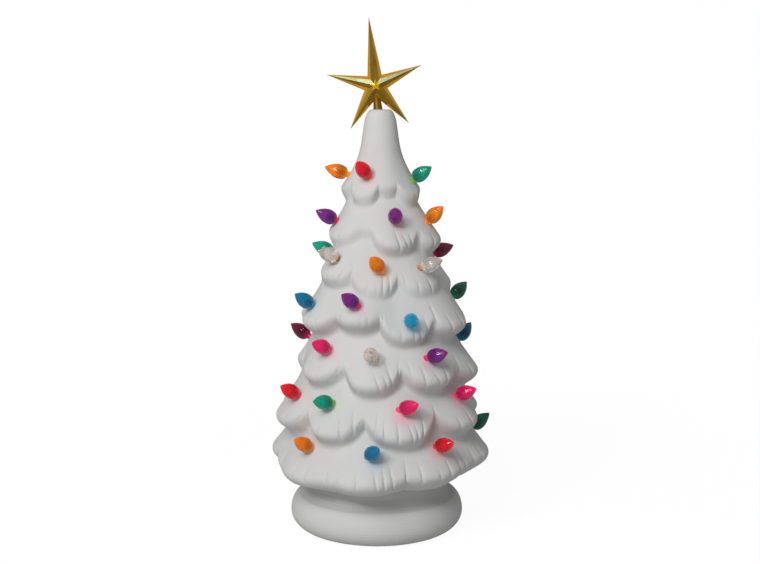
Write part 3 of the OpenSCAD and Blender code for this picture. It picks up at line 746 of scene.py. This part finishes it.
def model_bulb():
    """One bulb: from the pipe's end down its wall, out to the peg and up it, then the bulb's curve to the tip."""
    steps = 22
    profile = [(0.25, PEG_OUT + 8.4), (1.0, PEG_OUT + 8.0), (PIPE_RADIUS, PEG_OUT + 7.0), (PIPE_RADIUS, -PEG_IN),
               (PEG_RADIUS - 0.25, -PEG_IN), (PEG_RADIUS, 0.3 - PEG_IN), (PEG_RADIUS, PEG_OUT - 0.1)]
    for step in range(1, steps + 1):
        share = step / (steps + 0.3)
        wide = BULB_RADIUS * math.sin(math.pi * share ** 0.64) ** (0.45 + 0.4 * share)
        profile.append((max(wide, 0.12), PEG_OUT + BULB_LENGTH * share))
    bulb = lathe_by_hand("bulb_model", profile, 48)
    along = bulb.data.attributes.new("along", "FLOAT", "POINT")
    # Lengthwise flutes with a slight twist, and how far along the bulb each point lies
    for vertex in bulb.data.vertices:
        x, y, z = vertex.co / MM
        along.data[vertex.index].value = (z + PEG_IN) / (PEG_IN + BULB_TIP)
        share = (z - PEG_OUT) / BULB_LENGTH
        if share <= 0 or math.hypot(x, y) < PIPE_RADIUS + 0.1 and share < 0.6:
            continue
        angle = math.atan2(y, x) - FLUTE_TWIST * share
        deep = FLUTE_DEPTH * math.sin(math.pi * min(share * 1.05, 1)) ** 0.7
        shrink = 1 - deep * (0.5 + 0.5 * math.cos(FLUTES * angle))
        vertex.co.x *= shrink
        vertex.co.y *= shrink
    smooth(bulb, 50)
    return bulb


def bulb_nodes():
    return sorted(name for name in NODES if name.startswith("bulb_"))


def place_bulbs(plastics):
    model = model_bulb()
    for count, node in enumerate(bulb_nodes()):
        mesh = model.data.copy()
        bulb = bpy.data.objects.new(node.replace("bulb_", "lit_bulb_"), mesh)
        bpy.context.scene.collection.objects.link(bulb)
        spin = Matrix.Rotation(math.radians(SPIN_STEP * count), 4, "Z")
        mesh.transform(bulb_place(node) @ spin)
        wear(mesh, plastics[SLOT_OF[node]])
        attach(bulb, "tree")
        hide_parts(node)
    bpy.data.objects.remove(model)


# ---- The finished tree ----


def thin_out(piece, most):
    """Fewer triangles where the surface is plain."""
    only(piece)
    count = 2 * len(piece.data.polygons)
    if count > most:
        fewer = piece.modifiers.new("thin_out", "DECIMATE")
        fewer.ratio = most / count
        bpy.ops.object.modifier_apply(modifier=fewer.name)


def build_drills():
    """One cutter with a rod at every bulb's place, shorter in the two top tiers, where the tree is slim."""
    rods = []
    for node in bulb_nodes():
        tier = node[len("bulb_")]
        depth = 10 if tier in "67" else 15
        rod = add_rod("drill", PEG_RADIUS + 0.15, -depth, 5.2, 24)
        bake_place(rod)
        rod.data.transform(bulb_place(node))
        rods.append(rod)
    deselect()
    for rod in rods:
        rod.select_set(True)
    bpy.context.view_layer.objects.active = rods[0]
    bpy.ops.object.join()
    return rods[0]


def build_tree(ceramic):
    columns, rows = ((900, 380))
    tree = wrap_grid("ceramic_tree", columns, rows, skin_radius, 0, TREE_HEIGHT)
    thin_out(tree, 176000)
    top = TREE_FOOT + TREE_HEIGHT
    hollow_top = TREE_HEIGHT * 0.93
    cut(tree, wrap_grid("hollow", 96, 40, hollow_radius, MOUTH_DEPTH, hollow_top))
    cut(tree, add_rod("mouth", MOUTH_RADIUS, TREE_FOOT - 5, TREE_FOOT + (MOUTH_DEPTH + 0.01), 128))
    cut(tree, add_rod("star_hole", STAR_HOLE_RADIUS, top - STAR_HOLE_DEPTH, top + 5))
    cut(tree, add_rod("vent", VENT_RADIUS, TREE_FOOT + hollow_top - 2, top))
    cut(tree, build_drills())
    wear(tree.data, ceramic)
    smooth(tree, 50)
    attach(tree, "tree")
    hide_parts("tree_shell")


# ---- The star ----

# Radius between the notches and the tips, and what the two are scaled by in the raised band of a face
NOTCH_OR_TIP = 12
NOTCH_SCALE = 0.6
TIP_SCALE = 0.975
# The star's lean to the viewer's left in degrees, and its middle beside and above the tree's top
STAR_LEAN = -6
STAR_ASIDE = -1.83
STAR_MIDDLE = 17.5


def pick(piece, test):
    """Selects the corners of a piece that pass the test and goes into edit mode."""
    bpy.ops.object.mode_set(mode="OBJECT")
    for part in (piece.data.polygons, piece.data.edges):
        part.foreach_set("select", [False] * len(part))
    for vertex in piece.data.vertices:
        vertex.select = test(vertex.co / MM)
    bpy.ops.object.mode_set(mode="EDIT")
    bpy.ops.mesh.select_mode(type="VERT")


def scale_flat(grow):
    bpy.ops.transform.resize(value=(grow, 1, grow), center_override=(0, 0, 0))


def star_plate(name, arm, notch, extra, half):
    """A flat five-pointed plate that stands in the XZ plane, half of its thickness either way."""
    deselect()
    bpy.ops.mesh.primitive_circle_add(vertices=10, radius=arm * MM, fill_type="NGON",
                                      location=(0, half * MM, 0), rotation=(math.pi / 2, 0, 0))
    plate = bpy.context.object
    plate.name = name
    bake_place(plate)
    # Every second corner becomes a notch, and the top arm is drawn out by the extra
    corners = [vertex.co / MM for vertex in plate.data.vertices
               if round(math.degrees(math.atan2(vertex.co.x, vertex.co.z)) / 36) % 2]
    pick(plate, lambda at: any((at - corner).length < 0.1 for corner in corners))
    scale_flat(notch / arm)
    pick(plate, lambda at: at.z > arm - 1)
    bpy.ops.transform.translate(value=(0, 0, extra * MM))
    bpy.ops.mesh.select_all(action="SELECT")
    bpy.ops.mesh.extrude_region_move(TRANSFORM_OT_translate={"value": (0, -2 * half * MM, 0)})
    face_out()
    return plate


def lift_middle(star, side, level, crest):
    """Divides a face of the star from its middle, which moves out to the crest."""
    pick(star, lambda at: side * at.y > level)
    bpy.ops.mesh.poke()
    bpy.ops.object.mode_set(mode="OBJECT")
    middle = min((vertex.co / MM for vertex in star.data.vertices if side * vertex.co.y / MM > level),
                 key=lambda at: math.hypot(at.x, at.z))
    pick(star, lambda at: (at - middle).length < 0.01)
    bpy.ops.transform.translate(value=(-middle.x * MM, (side * crest - middle.y) * MM, -middle.z * MM))
    bpy.ops.object.mode_set(mode="OBJECT")


def raise_band(star, side, half, rim, crest):
    """Draws a face of the plate out to a narrower star, whose arms run down to the tips, and lifts its middle."""
    pick(star, lambda at: abs(at.y - side * half) < 0.05)
    bpy.ops.mesh.extrude_region_move(TRANSFORM_OT_translate={"value": (0, side * (rim - half) * MM, 0)})
    pick(star, lambda at: abs(at.y - side * rim) < 0.05 and math.hypot(at.x, at.z) < NOTCH_OR_TIP)
    scale_flat(NOTCH_SCALE)
    pick(star, lambda at: abs(at.y - side * rim) < 0.05 and math.hypot(at.x, at.z) > NOTCH_OR_TIP)
    scale_flat(TIP_SCALE)
    bpy.ops.transform.translate(value=(0, side * (half + 0.25 - rim) * MM, 0))
    lift_middle(star, side, half + 0.1, crest)


def paint_faces(piece, materials, choose):
    wear(piece.data, *materials)
    for face in piece.data.polygons:
        face.material_index = choose(face)


def painted_facet_light(face):
    """0 for the edges in the gold itself; the ridge halves wear painted light and shade: 3, a painted pale sheen,
    for halves that look up, 2, painted half light, for those that look aside and 1, painted shade, for the rest.
    """
    if abs(face.normal.y) < 0.7:
        return 0
    if face.normal.z > 0.3:
        return 3
    return 2 if face.normal.z > 0 and (face.normal.x > 0 or face.center.z < 0) else 1


def build_star(finishes):
    star = star_plate("gold_star", arm=37, notch=9, extra=13, half=0.6)
    for side in (-1, 1):
        raise_band(star, side, half=0.6, rim=4.6, crest=6.7)
    boss = star_plate("boss", arm=4.4, notch=2.0, extra=0.4, half=6.2)
    for side in (-1, 1):
        lift_middle(boss, side, level=6.0, crest=7.0)
    # The ridge halves wear painted light and shade, the edges the gold itself
    paint_faces(star, finishes, painted_facet_light)
    paint_faces(boss, finishes, lambda face: 0)
    fuse(star, boss)
    lean = Matrix.Rotation(math.radians(STAR_LEAN), 4, "Y")
    foot = TREE_FOOT + TREE_HEIGHT
    star.data.transform(Matrix.Translation(Vector((STAR_ASIDE, 0, foot + STAR_MIDDLE)) * MM) @ lean)
    deselect()
    bpy.ops.mesh.primitive_cone_add(vertices=40, radius1=3.5 * MM, radius2=1.9 * MM, depth=15 * MM,
                                    location=(0, 0, 7.5 * MM))
    stem = bpy.context.object
    bake_place(stem)
    stem.data.transform(Matrix.Translation(Vector((0, 0, foot - 0.35)) * MM) @ lean)
    fuse(stem, add_rod("peg", 3.7, foot - STAR_HOLE_DEPTH, foot, 40))
    # The stem wears the gold with painted shade
    paint_faces(stem, finishes, lambda face: 1)
    fuse(star, stem)
    smooth(star, 14)
    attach(star, "star")
    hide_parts("star_topper")


def dress_nodes(finishes):
    for node, material in finishes.items():
        wear(NODES[node].data, material)


build_studio()
mottle = build_mottle()
ceramic = build_ceramic(mottle, "white_bisque")
# Clay for the tree, with the painted glow of the bulbs' coloured light
bisque_with_painted_glow = build_ceramic(mottle, "white_bisque_with_painted_glow", build_painted_glow())
# Lit and shaded copies of the star's gold: the gold itself, then painted shade, painted half light and a painted
# pale sheen
star_golds_lit_and_shaded = [
    build_metal(mottle, "gold_edges", (1.0, 0.52, 0.015), (0.95, 0.42, 0.005), 0.2, 0.3, 0.75),
    build_metal(mottle, "gold_in_shade", (0.26, 0.16, 0.015), (0.19, 0.11, 0.01), 0.3, 0.4, 0.75),
    build_metal(mottle, "gold_in_half_light", (0.42, 0.28, 0.035), (0.30, 0.18, 0.015), 0.25, 0.35, 0.75),
    build_metal(mottle, "gold_in_light", (0.42, 0.46, 0.28), (0.30, 0.26, 0.10), 0.3, 0.4, 0.75),
]
brass = build_metal(mottle, "brass_sheet", (0.72, 0.52, 0.22), (0.62, 0.44, 0.18), 0.25, 0.38)
steel = build_metal(mottle, "spring_strip", (0.6, 0.61, 0.62), (0.5, 0.51, 0.52), 0.28, 0.42)
lead = build_metal(mottle, "solder", (0.42, 0.42, 0.44), (0.34, 0.34, 0.36), 0.4, 0.6)
black = build_black_plastic(mottle)
clear = build_glass(mottle, "lamp_glass_clear", (0.97, 0.97, 0.95), 0.0)
vitrite = build_glass(mottle, "black_glass_bead", (0.02, 0.02, 0.025), 0.05)
plastics = {slot: build_bulb_plastic(mottle, slot) for slot in BULB_TINTS}
dress_nodes({
    "base_stand": ceramic, "socket_body": black, "socket_sleeve": brass,
    "socket_contact": brass, "socket_clips": steel, "lamp_glass": clear, "lamp_cap": brass,
    "lamp_insulator": vitrite, "lamp_contact": lead, "lamp_stem": clear, "lamp_filament": steel,
})
place_bulbs(plastics)
build_tree(bisque_with_painted_glow)
build_star(star_golds_lit_and_shaded)
